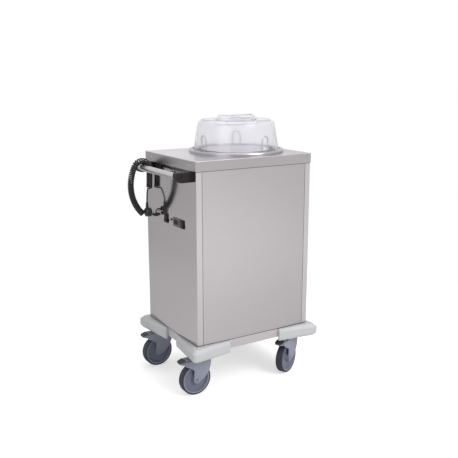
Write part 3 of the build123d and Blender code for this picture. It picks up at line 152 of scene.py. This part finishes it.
def coil_lengths(line, angles):
    """Length along the coil's middle line at each turn angle, by the pitch along it."""
    step = line.length / COIL_STEPS
    wound = [0.0]
    for i in range(COIL_STEPS):
        wound.append(wound[-1] + step / line.pitch((i + 0.5) * step))
    rate = COIL_TURNS * 2 * pi / wound[-1]
    lengths, i = [], 0
    for angle in angles:
        goal = angle / rate
        while i < COIL_STEPS - 1 and wound[i + 1] < goal:
            i += 1
        lengths.append((i + (goal - wound[i]) / (wound[i + 1] - wound[i])) * step)
    return lengths


def coil_place(line, s, angle, radius):
    """Point at a radius from the coil's middle line, at length s and a turn angle."""
    middle, _, outward = line.at(s)
    turn = angle - pi / 2
    return middle + (outward * cos(turn) + line.b * sin(turn)) * radius


def cord_points():
    """Control points of the whole cord: supply tail, curly part, plug tail."""
    line = CoilLine()
    step = 2 * pi / POINTS_PER_TURN
    count = round(COIL_TURNS * POINTS_PER_TURN)
    angles = [step * (k + 0.5) for k in range(count)]
    lengths = coil_lengths(line, angles)
    corner_radius = WIND_RADIUS / cos(step / 2)
    turns = [coil_place(line, s, a, corner_radius) for s, a in zip(lengths, angles)]
    first = coil_place(line, 0, 0, WIND_RADIUS)
    last = coil_place(line, line.length, COIL_TURNS * 2 * pi, WIND_RADIUS)
    first_way = (turns[0] - first).normalized()
    last_way = (last - turns[-1]).normalized()
    low_end = first - first_way * COIL_STUB
    high_end = last + last_way * COIL_STUB
    supply_route = [
        GLAND_MOUTH,
        GLAND_MOUTH + Vector((0, 0.009, 0)),
        GLAND_MOUTH + Vector((-0.008, 0.018, 0.008)),
        low_end - first_way * 0.014,
        low_end,
    ]
    plug_route = [
        high_end,
        high_end + last_way * 0.007,
        PLUG_TOP + Vector((0, 0, 0.014)),
        PLUG_TOP,
    ]
    return supply_route + turns + plug_route


def make_cord():
    """Curly supply cord from the gland over the handle bar to the plug."""
    points = cord_points()
    data = bpy.data.curves.new("supply_cord", "CURVE")
    data.dimensions = "3D"
    spline = data.splines.new("NURBS")
    spline.points.add(len(points) - 1)
    for control, point in zip(spline.points, points):
        control.co = (*point, 1)
        control.radius = CABLE_RADIUS
    spline.order_u = 3
    spline.use_endpoint_u = True
    spline.resolution_u = 4
    data.bevel_depth = 1.0
    data.bevel_resolution = 4
    data.use_fill_caps = True
    cord = bpy.data.objects.new("supply_cord", data)
    bpy.context.scene.collection.objects.link(cord)
    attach(cord, "cart")
    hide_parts("supply_tail", "cord_coil", "plug_tail")
    return cord


cord = make_cord()

# ---------------------------------------------------------------- material helpers
WHITE = (1, 1, 1, 1)
MIX_FACTOR, MIX_FIRST, MIX_SECOND, MIX_RESULT = 0, 6, 7, 2   # colour sockets of the Mix node
NOISE_SPAN = (0.3, 0.7)        # most values of a noise texture lie in here
FACING_SPAN = (0.6, 0.8)       # part of the normal along an axis, from none to fully facing it
ROUGHNESS_SPREAD = 0.15        # share by which a finish's roughness varies both ways
CREASE = 0.0022                # half height of the shade in a joint
CREASE_COLOR = (0.120, 0.105, 0.105)


class Nodes:
    """A shader node tree, with nodes added to it by kind."""

    def __init__(self, tree):
        self.tree = tree

    def add(self, kind, **values):
        """New node; each value is for an input of that name, or else for a property."""
        node = self.tree.nodes.new(kind)
        for name, value in values.items():
            if name in node.inputs:
                node.inputs[name].default_value = value
            else:
                setattr(node, name, value)
        return node

    def link(self, source, target):
        self.tree.links.new(source, target)

    def join(self, kind, *sources, **values):
        """First output of a new node whose first inputs are plain values or other outputs."""
        node = self.add(kind, **values)
        for place, source in zip(node.inputs, sources):
            if isinstance(source, bpy.types.NodeSocket):
                self.link(source, place)
            else:
                place.default_value = source
        return node.outputs[0]

    def seen_by(self, *kinds):
        """Factor that is 1 for rays from the camera and for the named kinds of ray."""
        rays = self.add("ShaderNodeLightPath")
        total = rays.outputs["Is Camera Ray"]
        for name in kinds:
            total = self.join("ShaderNodeMath", total, rays.outputs[name], operation="MAXIMUM")
        return total


class Paint(Nodes):
    """One procedural material around a principled shader."""

    def __init__(self, name, color, roughness, **sockets):
        self.material = bpy.data.materials.new(name)
        self.material.use_nodes = True
        super().__init__(self.material.node_tree)
        self.shader = self.tree.nodes["Principled BSDF"]
        self.color = color
        self.set(Base_Color=(*color, 1), Roughness=roughness, **sockets)

    def set(self, **sockets):
        for name, value in sockets.items():
            self.shader.inputs[name.replace("_", " ")].default_value = value

    def base(self, source):
        self.link(source, self.shader.inputs["Base Color"])

    def noise(self, scale, detail, stretch=(1, 1, 1), roughness=0.5):
        node = self.add("ShaderNodeTexNoise", Scale=scale, Detail=detail, Roughness=roughness)
        mapping = self.add("ShaderNodeMapping", Scale=stretch)
        self.link(self.add("ShaderNodeTexCoord").outputs["Object"], mapping.inputs["Vector"])
        self.link(mapping.outputs["Vector"], node.inputs["Vector"])
        return node.outputs["Fac"]

    def spread(self, source, low, high, start, end):
        """Low up to the source's start and high from its end, straight between them."""
        span = {"From Min": start, "From Max": end, "To Min": low, "To Max": high}
        return self.join("ShaderNodeMapRange", source, **span)

    def part(self, place, axis):
        """Part along one axis of the object's coordinates or of its normal."""
        split = self.add("ShaderNodeSeparateXYZ")
        self.link(self.add("ShaderNodeTexCoord").outputs[place], split.inputs[0])
        return split.outputs[axis]

    def facing(self, axis):
        """0 where the surface lies along an axis of the model, 1 where it faces that way."""
        size = self.join("ShaderNodeMath", self.part("Normal", axis), operation="ABSOLUTE")
        return self.spread(size, 0, 1, *FACING_SPAN)

    def along(self, axis, start, end):
        """0 up to the start and 1 from the end of a stretch along an axis, in metres."""
        return self.spread(self.part("Object", axis), 0, 1, start, end)

    def crease(self, source, *heights):
        """Darken a colour in thin level bands, as in the shade of a joint at each height."""
        for height in heights:
            over = self.along("Z", height - CREASE, height - CREASE / 3)
            past = self.along("Z", height + CREASE / 3, height + CREASE)
            under = self.join("ShaderNodeMath", 1.0, past, operation="SUBTRACT")
            band = self.join("ShaderNodeMath", over, under, operation="MULTIPLY")
            source = self.blend(band, source, CREASE_COLOR)
        return source

    def blend(self, factor, first, second):
        """Colour from first to second; each is a colour or another node's output."""
        mix = self.add("ShaderNodeMix", data_type="RGBA")
        for place, value in ((MIX_FIRST, first), (MIX_SECOND, second)):
            if isinstance(value, bpy.types.NodeSocket):
                self.link(value, mix.inputs[place])
            else:
                mix.inputs[place].default_value = (*value, 1)
        self.link(factor, mix.inputs[MIX_FACTOR])
        return mix.outputs[MIX_RESULT]

    def tint(self, source, shade):
        """Vary the base colour by a share of itself both ways, by a texture."""
        dark = [(1 - shade) * c for c in self.color]
        light = [(1 + shade) * c for c in self.color]
        color = self.blend(self.spread(source, 0, 1, *NOISE_SPAN), dark, light)
        self.base(color)
        return color

    def vary_roughness(self, source, low, high):
        varied = self.spread(source, low, high, *NOISE_SPAN)
        self.link(varied, self.shader.inputs["Roughness"])

    def bump(self, source, strength, distance):
        node = self.add("ShaderNodeBump", Strength=strength, Distance=distance)
        self.link(source, node.inputs["Height"])
        self.link(node.outputs["Normal"], self.shader.inputs["Normal"])


class Steel(Paint):
    """Brushed stainless sheet. grain stretches the brush lines: small along them, large across."""

    def __init__(self, name, color, roughness, grain, streak=0.05, anisotropy=0.5):
        super().__init__(name, color, roughness, Metallic=1.0, Anisotropic=anisotropy)
        self.lines = self.noise(scale=1.0, detail=4, stretch=grain, roughness=0.7)
        self.streaks = self.tint(self.lines, streak)

    def cloud(self, low, high):
        self.vary_roughness(self.noise(scale=3.0, detail=2), low, high)


def around(roughness):
    """Lowest and highest roughness of a finish that varies about its own."""
    return roughness * (1 - ROUGHNESS_SPREAD), roughness * (1 + ROUGHNESS_SPREAD)


def brushed(name, color, roughness, grain):
    """Plain brushed steel of one tone."""
    steel = Steel(name, color, roughness, grain)
    steel.cloud(*around(roughness))
    steel.bump(steel.lines, strength=0.25, distance=0.00004)
    return steel.material


def moulded(name, color, roughness, grain_scale=900, shade=0.06, gloss=0.5):
    """Moulded plastic or rubber: fine grain, faint cloudiness and a slightly uneven gloss."""
    paint = Paint(name, color, roughness, Specular_IOR_Level=gloss)
    paint.tint(paint.noise(scale=9.0, detail=4), shade)
    paint.vary_roughness(paint.noise(scale=40.0, detail=3), *around(roughness))
    paint.bump(paint.noise(grain_scale, detail=2), strength=0.4, distance=0.00006)
    return paint.material


def tinted(name, color, gloss):
    """Smooth tinted plastic of a window or a lens."""
    paint = Paint(name, color, 0.16, Specular_IOR_Level=gloss)
    paint.tint(paint.noise(scale=60.0, detail=2), 0.15)
    return paint.material


def dress(material, *names):
    """Give the named CAD nodes a material."""
    for name in names:
        slots = nodes[name].data.materials
        slots.clear()
        slots.append(material)


def soften(width, *names):
    """Round the hard edges of the named CAD nodes a little, as folded or moulded edges are."""
    for name in names:
        bevel = nodes[name].modifiers.new("edge", "BEVEL")
        bevel.width = width
        bevel.segments = 2
        bevel.limit_method = "ANGLE"
        bevel.angle_limit = radians(35)
        bevel.harden_normals = True


def per_corner(kind):
    return [f"{kind}_{corner}" for corner in CORNERS]


# ---------------------------------------------------------------- pedal pads
PAD_BACK, PAD_TIP = -0.0240, -0.0478     # from the pedal's pivot, along the lever
PAD_HALF_WIDTH = 0.0172
PAD_CORNER = 0.0085
PAD_CORNER_STEPS = 6
PAD_RISE, PAD_FALL = 0.0130, 0.0055      # lever's top above the pivot, at the back and at the tip
PAD_THICK = 0.0022
PAD_SINK = 0.0006                        # into the lever, so that no gap shows
PAD_EDGE_START = PAD_THICK * 0.6
PAD_EDGE = 0.0009                        # how far the rounded upper edge draws in


def pad_outline():
    """Plan of the pad: square behind, rounded at the tip."""
    points = [(PAD_BACK, -PAD_HALF_WIDTH), (PAD_BACK, PAD_HALF_WIDTH)]
    turns = [pi / 2 * k / PAD_CORNER_STEPS for k in range(PAD_CORNER_STEPS + 1)]
    for side, order in ((1, turns), (-1, turns[::-1])):
        for turn in order:
            x = PAD_TIP + PAD_CORNER * (1 - sin(turn))
            y = side * (PAD_HALF_WIDTH - PAD_CORNER * (1 - cos(turn)))
            points.append((x, y))
    return points


def make_pad(corner, joint, material):
    """Rubber tread on the foot lever, turned with its caster."""
    pivot = Vector(joint["pos_m"])
    axis = Vector(joint["axis"])
    along = Vector((-axis.y, axis.x, 0))
    across = Vector((-along.y, along.x, 0))
    slope = (PAD_RISE - PAD_FALL) / (PAD_BACK - PAD_TIP)
    mesh = bmesh.new()
    rings = []
    for lift, inset in ((-PAD_SINK, 0.0), (PAD_EDGE_START, 0.0), (PAD_THICK, PAD_EDGE)):
        ring = []
        for x, y in pad_outline():
            x += inset if x < (PAD_BACK + PAD_TIP) / 2 else -inset
            y -= inset if y > 0 else -inset
            z = PAD_RISE + (x - PAD_BACK) * slope + lift
            ring.append(mesh.verts.new(pivot + along * x + across * y + Vector((0, 0, z))))
        rings.append(ring)
    count = len(rings[0])
    for lower, upper in zip(rings, rings[1:]):
        for k in range(count):
            after = (k + 1) % count
            mesh.faces.new((lower[k], lower[after], upper[after], upper[k]))
    mesh.faces.new(rings[-1])
    mesh.faces.new(rings[0][::-1])
    bmesh.ops.recalc_face_normals(mesh, faces=mesh.faces)
    data = bpy.data.meshes.new(f"pedal_pad_{corner}")
    mesh.to_mesh(data)
    mesh.free()
    pad = bpy.data.objects.new(f"pedal_pad_{corner}", data)
    bpy.context.scene.collection.objects.link(pad)
    data.materials.append(material)
    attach(pad, f"pedal_{corner}")


def pad_rubber():
    """Black rubber with a coarser grain than the other plastics."""
    paint = Paint("pad_rubber", (0.020, 0.021, 0.024), 0.55)
    paint.tint(paint.noise(scale=30.0, detail=3), 0.15)
    paint.bump(paint.noise(scale=700, detail=2), strength=0.5, distance=0.0001)
    return paint.material


def make_pads():
    material = pad_rubber()
    for corner in CORNERS:
        make_pad(corner, joints[f"pedal_press_{corner}"], material)


# ---------------------------------------------------------------- finishes
# The tones that change along the sheets, and the shade in their joints, are painted after the
# photograph's light. They are no known colours or wear of the sheets.
PANEL_FADE = (-0.20, 0.27)     # along X
DECK_FADE = (-0.15, 0.27)      # along X
SHELL_FADE = (0.55, 0.87)      # along Z, where the painted light turns paler
UNDER_LIP = 0.8622             # joint below the deck's lip
OVER_FRAME = 0.2058            # joint above the base frame
RIM_START = 0.0538             # the wheel's pale rim, from its centre
RIM_BLEND = 0.0006
GRAIN_UP = (900, 900, 6)       # brush lines run up the sheet
GRAIN_ALONG = (6, 900, 900)    # brush lines run along X
GRAIN_ACROSS = (900, 6, 900)   # brush lines run along Y


def shell_steel():
    """End shells: polished on the narrow end, with painted light making it paler towards the top,
    dull on their returns.
    """
    polish, dull = 0.10, 0.34
    steel = Steel(
        "end_shell_steel", (0.545, 0.509, 0.516), polish, GRAIN_ACROSS, streak=0.03, anisotropy=0.3
    )
    # painted light: the narrow end fades to a paler tone towards the top
    painted_light_top = steel.blend(steel.along("Z", *SHELL_FADE), steel.streaks, (0.710, 0.670, 0.680))
    # the returns facing Y take one flat tone of their own, without the painted light
    wide = steel.facing("Y")
    color = steel.blend(wide, painted_light_top, (0.560, 0.538, 0.545))
    steel.base(steel.crease(color, UNDER_LIP, OVER_FRAME))
    steel.link(steel.spread(wide, polish, dull, 0, 1), steel.shader.inputs["Roughness"])
    steel.bump(steel.lines, strength=0.06, distance=0.00003)
    return steel.material


def panel_steel():
    """Wide panels: brushed along, with painted shade darker away from the handle."""
    steel = Steel("wide_panel_steel", (0.520, 0.492, 0.497), 0.32, GRAIN_ALONG)
    color = steel.blend(steel.along("X", *PANEL_FADE), steel.streaks, (0.470, 0.442, 0.447))
    steel.base(steel.crease(color, UNDER_LIP, OVER_FRAME))
    steel.cloud(0.29, 0.35)
    steel.bump(steel.lines, strength=0.12, distance=0.00003)
    return steel.material


def deck_steel():
    """Deck sheet: painted shade darker away from the handle, and a flat painted shade on its
    folded lip.
    """
    steel = Steel("deck_steel", (0.570, 0.545, 0.565), 0.30, GRAIN_ALONG)
    color = steel.blend(steel.along("X", *DECK_FADE), steel.streaks, (0.430, 0.410, 0.425))
    # painted shade: the folded lip facing Y is given one darker tone
    steel.base(steel.blend(steel.facing("Y"), color, (0.460, 0.440, 0.452)))
    steel.cloud(0.26, 0.34)
    steel.bump(steel.lines, strength=0.25, distance=0.00004)
    return steel.material


def wheel_plastic(corner):
    """Blue-grey wheel disc with a paler rim beside the tyre."""
    paint = Paint(f"wheel_plastic_{corner}", (0.165, 0.182, 0.245), 0.44)
    disc = paint.tint(paint.noise(scale=9.0, detail=4), 0.06)
    away = paint.add("ShaderNodeVectorMath", operation="DISTANCE")
    paint.link(paint.add("ShaderNodeTexCoord").outputs["Object"], away.inputs[0])
    away.inputs[1].default_value = joints[f"wheel_roll_{corner}"]["pos_m"]
    rim = paint.spread(away.outputs["Value"], 0, 1, RIM_START, RIM_START + RIM_BLEND)
    paint.base(paint.blend(rim, disc, (0.330, 0.355, 0.425)))
    paint.vary_roughness(paint.noise(scale=40.0, detail=3), 0.34, 0.46)
    paint.bump(paint.noise(scale=900, detail=2), strength=0.4, distance=0.00006)
    return paint.material


def clear_plastic():
    """Clear moulded cover with a faint cool cast, slight flow marks and an uneven gloss."""
    paint = Paint("dome_plastic", (0.950, 0.950, 0.978), 0.12, IOR=1.46, Transmission_Weight=0.90)
    paint.vary_roughness(paint.noise(scale=14.0, detail=5), 0.09, 0.17)
    paint.bump(paint.noise(scale=7.0, detail=3), strength=0.25, distance=0.0012)
    return paint.material


def finish_cabinet():
    frame_steel = brushed("frame_steel", (0.580, 0.552, 0.570), 0.36, GRAIN_ALONG)
    screw_steel = brushed("screw_steel", (0.600, 0.600, 0.610), 0.30, GRAIN_UP)
    bumper = moulded("bumper_plastic", (0.565, 0.571, 0.586), 0.48, shade=0.04)
    dress(panel_steel(), "front_panel", "rear_panel")
    dress(shell_steel(), "handle_end_shell", "far_end_shell")
    dress(deck_steel(), "top_deck")
    dress(frame_steel, "base_frame", "floor_tray")
    dress(bumper, *per_corner("bumper"))
    dress(screw_steel, "deck_screws", "handle_screws")


def finish_casters():
    axle_steel = brushed("axle_steel", (0.300, 0.310, 0.330), 0.42, GRAIN_UP)
    tyre_rubber = moulded("tyre_rubber", (0.026, 0.031, 0.042), 0.60, grain_scale=500)
    dress(brushed("zinc_steel", (0.560, 0.570, 0.580), 0.34, GRAIN_UP), "caster_heads")
    dress(axle_steel, *per_corner("caster_axle"))
    dress(moulded("fork_plastic", (0.270, 0.285, 0.355), 0.50), *per_corner("caster_fork"))
    dress(moulded("pedal_plastic", (0.250, 0.262, 0.310), 0.48), *per_corner("brake_pedal"))
    for corner in CORNERS:
        dress(wheel_plastic(corner), f"wheel_core_{corner}")
    dress(tyre_rubber, *per_corner("tyre"))


def finish_lift():
    platform_steel = brushed("platform_steel", (0.700, 0.696, 0.710), 0.40, GRAIN_ALONG)
    wire = brushed("bright_wire", (0.650, 0.640, 0.650), 0.14, GRAIN_UP)
    heater = brushed("heater_steel", (0.200, 0.180, 0.170), 0.45, GRAIN_ALONG)
    guides = [f"plate_guide_{side}" for side in ("handle", "rear", "front")]
    dress(brushed("collar_steel", (0.400, 0.384, 0.418), 0.26, GRAIN_ALONG), "collar_ring")
    dress(brushed("tube_steel", (0.600, 0.595, 0.605), 0.30, GRAIN_UP), "dispenser_tube")
    dress(platform_steel, "plate_platform")
    dress(wire, "lift_springs", *guides)
    dress(heater, "heater_element")
    dress(clear_plastic(), "dome")


def finish_handle():
    bracket = moulded("bracket_plastic", (0.012, 0.009, 0.0095), 0.5, gloss=0.25)
    dress(brushed("bar_steel", (0.520, 0.505, 0.512), 0.26, GRAIN_ACROSS), "handle_bar")
    dress(bracket, "handle_bracket_front", "handle_bracket_rear")


def finish_controls():
    control = moulded("control_plastic", (0.016, 0.013, 0.014), 0.40, gloss=0.3)
    rocker = moulded("rocker_plastic", (0.010, 0.009, 0.010), 0.36, gloss=0.2)
    key = moulded("key_plastic", (0.085, 0.085, 0.092), 0.42)
    dress(control, "switch_frames")
    dress(moulded("housing_plastic", (0.125, 0.114, 0.118), 0.42), "controller_housing")
    dress(key, "button_up", "button_down")
    dress(rocker, "main_rocker", "heat_rocker")
    dress(tinted("display_window", (0.016, 0.009, 0.009), 0.15), "controller_display")
    dress(tinted("lamp_lens", (0.050, 0.032, 0.028), 0.4), "pilot_lamp")


def finish_cord():
    cable = moulded("cable_rubber", (0.014, 0.014, 0.016), 0.42, grain_scale=1200)
    cord.data.materials.append(cable)
    dress(cable, "supply_tail", "cord_coil", "plug_tail")
    dress(moulded("plug_rubber", (0.018, 0.018, 0.020), 0.46), "plug", "cable_gland")
    dress(brushed("pin_metal", (0.560, 0.555, 0.555), 0.24, GRAIN_ALONG), "plug_pins")


make_pads()
finish_cabinet()
finish_casters()
finish_lift()
finish_handle()
finish_controls()
finish_cord()

soften(0.0012, *per_corner("bumper"), *per_corner("caster_fork"), *per_corner("brake_pedal"))
soften(0.0012, "handle_bracket_front", "handle_bracket_rear")
soften(0.0006, "controller_housing", "switch_frames", "main_rocker", "heat_rocker")
soften(0.0004, "button_up", "button_down")

# ---------------------------------------------------------------- studio
SOFT_LIGHT = 0.46          # strength of the even light from all round
FLOOR_HALF = 14.0
FLOOR_COLOR = (0.90, 0.90, 0.90)
FLOOR_GLOW = 0.50          # what the eye adds to the lit floor
FLOOR_FADE = (0.9, 1.8)    # from the lit floor to plain white, out from the middle
FRONT_GLOW = 0.42          # what reflections add to the floor far in front of the wide face
FRONT_FADE = (-3.8, -1.1)  # along Y, from that glow to none
LAMPS = (
    # name, place, aimed at, width, height, watts
    ("key", (1.0, -3.1, 2.9), (0.0, 0.0, 0.55), 2.2, 2.2, 80),
    ("fill", (-3.2, -1.6, 1.5), (0.0, 0.0, 0.6), 2.0, 2.0, 14),
    ("top", (0.2, 0.3, 3.4), (0.0, 0.0, 0.9), 2.4, 2.4, 30),
)


def make_world():
    """White backdrop to the eye, and an even soft light on the object."""
    world = bpy.data.worlds.new("studio")
    bpy.context.scene.world = world
    world.use_nodes = True
    world.node_tree.nodes.clear()
    sky = Nodes(world.node_tree)
    soft = sky.join("ShaderNodeBackground", WHITE, SOFT_LIGHT)
    white = sky.join("ShaderNodeBackground", WHITE, 1.0)
    seen = sky.seen_by("Is Glossy Ray", "Is Transmission Ray")
    output = sky.add("ShaderNodeOutputWorld")
    sky.link(sky.join("ShaderNodeMixShader", seen, soft, white), output.inputs["Surface"])


def make_floor():
    """Pale floor that keeps the object's soft shadow and fades to plain white around it."""
    bpy.ops.mesh.primitive_plane_add(size=2 * FLOOR_HALF)
    floor = bpy.context.object
    floor.name = "floor"
    paint = Paint("floor_paint", FLOOR_COLOR, 0.9, Specular_IOR_Level=0.0)
    seen = paint.seen_by("Is Transmission Ray")
    mirrored = paint.add("ShaderNodeLightPath").outputs["Is Glossy Ray"]
    place = paint.add("ShaderNodeNewGeometry").outputs["Position"]
    split = paint.add("ShaderNodeSeparateXYZ")
    away = paint.add("ShaderNodeVectorMath", operation="LENGTH")
    paint.link(place, split.inputs[0])
    paint.link(place, away.inputs[0])
    front = paint.spread(split.outputs["Y"], FRONT_GLOW, 0, *FRONT_FADE)
    front = paint.join("ShaderNodeMath", front, mirrored, operation="MULTIPLY")
    far = paint.spread(away.outputs["Value"], 0, 1, *FLOOR_FADE)
    far = paint.join("ShaderNodeMath", far, seen, operation="MULTIPLY")
    card = paint.join("ShaderNodeEmission", WHITE, front)
    glow = paint.join("ShaderNodeEmission", (FLOOR_GLOW, FLOOR_GLOW, FLOOR_GLOW, 1), seen)
    white = paint.join("ShaderNodeEmission", WHITE)
    lit = paint.join("ShaderNodeAddShader", paint.shader.outputs[0], card)
    near = paint.join("ShaderNodeAddShader", lit, glow)
    surface = paint.join("ShaderNodeMixShader", far, near, white)
    paint.link(surface, paint.tree.nodes["Material Output"].inputs["Surface"])
    floor.data.materials.append(paint.material)


def make_lamps():
    for name, place, aim, width, height, watts in LAMPS:
        data = bpy.data.lights.new(name, "AREA")
        data.shape = "RECTANGLE"
        data.size, data.size_y = width, height
        data.energy = watts
        lamp = bpy.data.objects.new(name, data)
        bpy.context.scene.collection.objects.link(lamp)
        lamp.location = place
        way = Vector(aim) - Vector(place)
        lamp.rotation_mode = "QUATERNION"
        lamp.rotation_quaternion = way.to_track_quat("-Z", "Y")
        lamp.visible_camera = False


make_world()
make_floor()
make_lamps()
bpy.context.scene.view_settings.view_transform = "Standard"
